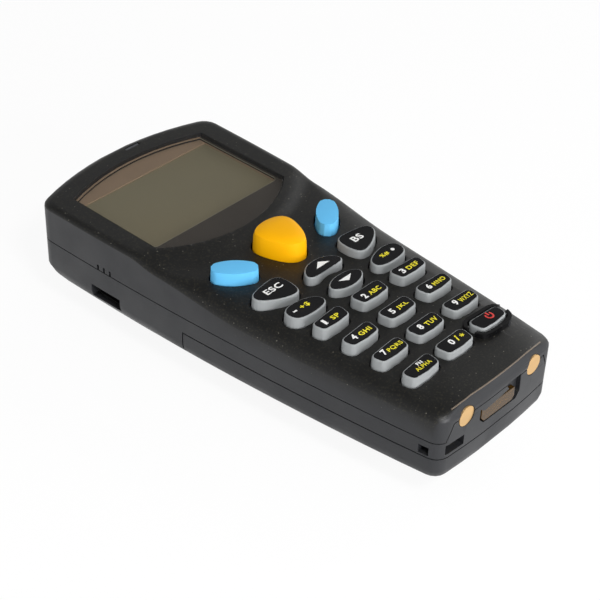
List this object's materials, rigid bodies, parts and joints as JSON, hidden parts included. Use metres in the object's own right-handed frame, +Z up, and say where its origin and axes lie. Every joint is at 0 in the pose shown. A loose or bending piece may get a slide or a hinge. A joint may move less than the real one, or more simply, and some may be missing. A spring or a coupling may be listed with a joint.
{
  "type": "portable barcode data terminal",
  "caption": "Pocket barcode data terminal with a display, a rubber keypad, an orange scan key, a scan window under its nose and a slide-off battery cover.",
  "frame": {"origin": "under the middle of the case, level with the flat under its scan hump", "axes": "+Y to the display and scan end, +X to the user's right, +Z up out of the keypad"},
  "size_m": [0.056, 0.122, 0.0331],
  "materials": {
    "case_black": "fine-textured moulded plastic, satin",
    "case_dark": "spark-textured moulded plastic, matte",
    "black_plastic": "moulded plastic",
    "white_plastic": "translucent moulded plastic",
    "lens": "clear acrylic, polished",
    "red_lens": "red acrylic, polished",
    "ir_lens": "smoked plastic, polished",
    "lcd": "liquid crystal glass with a satin polariser",
    "bezel": "pressed sheet frame, brown",
    "key_rubber": "silicone rubber",
    "key_blue": "silicone rubber, blue",
    "key_orange": "silicone rubber, orange",
    "black_rubber": "conductive rubber strip",
    "steel": "plated spring steel",
    "gold": "gold-plated brass",
    "board": "glass-filled circuit board",
    "cell": "steel can in a printed sleeve"
  },
  "bodies": {
    "case": {"front_housing": "case_black", "rear_housing": "case_dark", "display_lens": "lens", "lens_tape": "black_plastic", "lcd_glass": "lcd", "lcd_bezel": "bezel", "backlight": "white_plastic", "lcd_connector": "black_rubber", "keypad_web": "key_rubber", "key_domes": "steel", "main_board": "board", "board_chips": "black_plastic", "backup_cell": "steel", "buzzer": "black_plastic", "status_light": "white_plastic", "scan_engine": "black_plastic", "scan_lens": "lens", "scan_leds": "red_lens", "scan_window": "red_lens", "ir_window": "ir_lens", "ir_transceiver": "black_plastic", "charge_contacts": "gold", "battery_springs": "steel", "battery_plates": "steel", "cell_left": "cell", "cell_right": "cell", "cable_socket": "black_plastic", "housing_screws": "steel"},
    "key_scan": {"key_scan": "key_orange"},
    "key_left": {"key_left": "key_blue"},
    "key_right": {"key_right": "key_blue"},
    "key_esc": {"key_esc": "key_rubber"},
    "key_back": {"key_back": "key_rubber"},
    "key_up": {"key_up": "key_rubber"},
    "key_down": {"key_down": "key_rubber"},
    "key_minus": {"key_minus": "key_rubber"},
    "key_point": {"key_point": "key_rubber"},
    "key_1": {"key_1": "key_rubber"},
    "key_2": {"key_2": "key_rubber"},
    "key_3": {"key_3": "key_rubber"},
    "key_4": {"key_4": "key_rubber"},
    "key_5": {"key_5": "key_rubber"},
    "key_6": {"key_6": "key_rubber"},
    "key_7": {"key_7": "key_rubber"},
    "key_8": {"key_8": "key_rubber"},
    "key_9": {"key_9": "key_rubber"},
    "key_shift": {"key_shift": "key_rubber"},
    "key_0": {"key_0": "key_rubber"},
    "key_power": {"key_power": "key_rubber"},
    "cover": {"battery_cover": "case_dark"}
  },
  "joints": [
    {"name": "press_scan", "type": "slide", "parent": "case", "child": "key_scan", "axis": [0, 0, -1], "range_m": [0, 0.0008], "stiffness_N_per_m": 800, "springref_m": -0.0005},
    {"name": "press_left", "type": "slide", "parent": "case", "child": "key_left", "axis": [0, 0, -1], "range_m": [0, 0.0008], "stiffness_N_per_m": 800, "springref_m": -0.0005},
    {"name": "press_right", "type": "slide", "parent": "case", "child": "key_right", "axis": [0, 0, -1], "range_m": [0, 0.0008], "stiffness_N_per_m": 800, "springref_m": -0.0005},
    {"name": "press_esc", "type": "slide", "parent": "case", "child": "key_esc", "axis": [0, 0, -1], "range_m": [0, 0.0008], "stiffness_N_per_m": 800, "springref_m": -0.0005},
    {"name": "press_back", "type": "slide", "parent": "case", "child": "key_back", "axis": [0, 0, -1], "range_m": [0, 0.0008], "stiffness_N_per_m": 800, "springref_m": -0.0005},
    {"name": "press_up", "type": "slide", "parent": "case", "child": "key_up", "axis": [0, 0, -1], "range_m": [0, 0.0008], "stiffness_N_per_m": 800, "springref_m": -0.0005},
    {"name": "press_down", "type": "slide", "parent": "case", "child": "key_down", "axis": [0, 0, -1], "range_m": [0, 0.0008], "stiffness_N_per_m": 800, "springref_m": -0.0005},
    {"name": "press_minus", "type": "slide", "parent": "case", "child": "key_minus", "axis": [0, 0, -1], "range_m": [0, 0.0008], "stiffness_N_per_m": 800, "springref_m": -0.0005},
    {"name": "press_point", "type": "slide", "parent": "case", "child": "key_point", "axis": [0, 0, -1], "range_m": [0, 0.0008], "stiffness_N_per_m": 800, "springref_m": -0.0005},
    {"name": "press_1", "type": "slide", "parent": "case", "child": "key_1", "axis": [0, 0, -1], "range_m": [0, 0.0008], "stiffness_N_per_m": 800, "springref_m": -0.0005},
    {"name": "press_2", "type": "slide", "parent": "case", "child": "key_2", "axis": [0, 0, -1], "range_m": [0, 0.0008], "stiffness_N_per_m": 800, "springref_m": -0.0005},
    {"name": "press_3", "type": "slide", "parent": "case", "child": "key_3", "axis": [0, 0, -1], "range_m": [0, 0.0008], "stiffness_N_per_m": 800, "springref_m": -0.0005},
    {"name": "press_4", "type": "slide", "parent": "case", "child": "key_4", "axis": [0, 0, -1], "range_m": [0, 0.0008], "stiffness_N_per_m": 800, "springref_m": -0.0005},
    {"name": "press_5", "type": "slide", "parent": "case", "child": "key_5", "axis": [0, 0, -1], "range_m": [0, 0.0008], "stiffness_N_per_m": 800, "springref_m": -0.0005},
    {"name": "press_6", "type": "slide", "parent": "case", "child": "key_6", "axis": [0, 0, -1], "range_m": [0, 0.0008], "stiffness_N_per_m": 800, "springref_m": -0.0005},
    {"name": "press_7", "type": "slide", "parent": "case", "child": "key_7", "axis": [0, 0, -1], "range_m": [0, 0.0008], "stiffness_N_per_m": 800, "springref_m": -0.0005},
    {"name": "press_8", "type": "slide", "parent": "case", "child": "key_8", "axis": [0, 0, -1], "range_m": [0, 0.0008], "stiffness_N_per_m": 800, "springref_m": -0.0005},
    {"name": "press_9", "type": "slide", "parent": "case", "child": "key_9", "axis": [0, 0, -1], "range_m": [0, 0.0008], "stiffness_N_per_m": 800, "springref_m": -0.0005},
    {"name": "press_shift", "type": "slide", "parent": "case", "child": "key_shift", "axis": [0, 0, -1], "range_m": [0, 0.0008], "stiffness_N_per_m": 800, "springref_m": -0.0005},
    {"name": "press_0", "type": "slide", "parent": "case", "child": "key_0", "axis": [0, 0, -1], "range_m": [0, 0.0008], "stiffness_N_per_m": 800, "springref_m": -0.0005},
    {"name": "press_power", "type": "slide", "parent": "case", "child": "key_power", "axis": [0, 0, -1], "range_m": [0, 0.0008], "stiffness_N_per_m": 800, "springref_m": -0.0005},
    {"name": "cover_slide", "type": "slide", "parent": "case", "child": "cover", "axis": [0, -1, 0], "range_m": [0, 0.075]}
  ]
}
